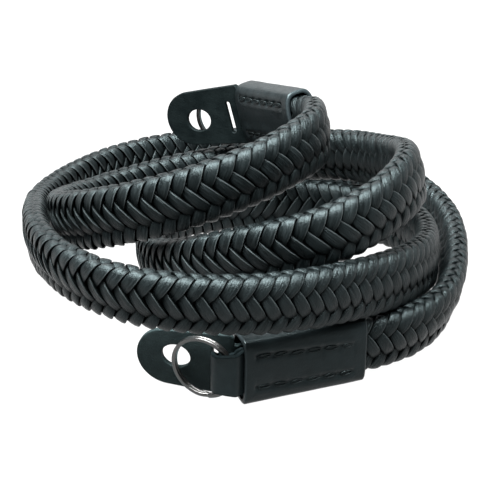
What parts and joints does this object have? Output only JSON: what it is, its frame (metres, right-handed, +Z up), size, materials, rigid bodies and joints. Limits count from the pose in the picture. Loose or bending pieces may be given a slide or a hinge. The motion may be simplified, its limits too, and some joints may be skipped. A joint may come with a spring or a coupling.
{
  "type": "braided camera strap",
  "caption": "Black leather braided camera strap coiled on its edge, with a stitched sleeve, a folded tab with a split ring and a round-ended flap with a lug hole at each end.",
  "frame": {"origin": "middle of the coil's footprint, on the table", "axes": "+Z up from the table, -Y towards the sleeve that lies at the front of the coil, +X to the right as seen from there"},
  "size_m": [0.1463, 0.1755, 0.0726],
  "materials": {
    "braid": "semi-gloss black braided leather",
    "sleeve": "smooth black leather with a low sheen",
    "tab": "smooth black leather with a low sheen",
    "flap": "matt black leather",
    "ring": "polished dark gunmetal"
  },
  "bodies": {
    "root": {"strap_braid": "braid", "front_sleeve": "sleeve", "front_tab": "tab", "front_flap": "flap", "front_ring": "ring", "rear_sleeve": "sleeve", "rear_tab": "tab", "rear_flap": "flap", "rear_ring": "ring"}
  },
  "joints": []
}
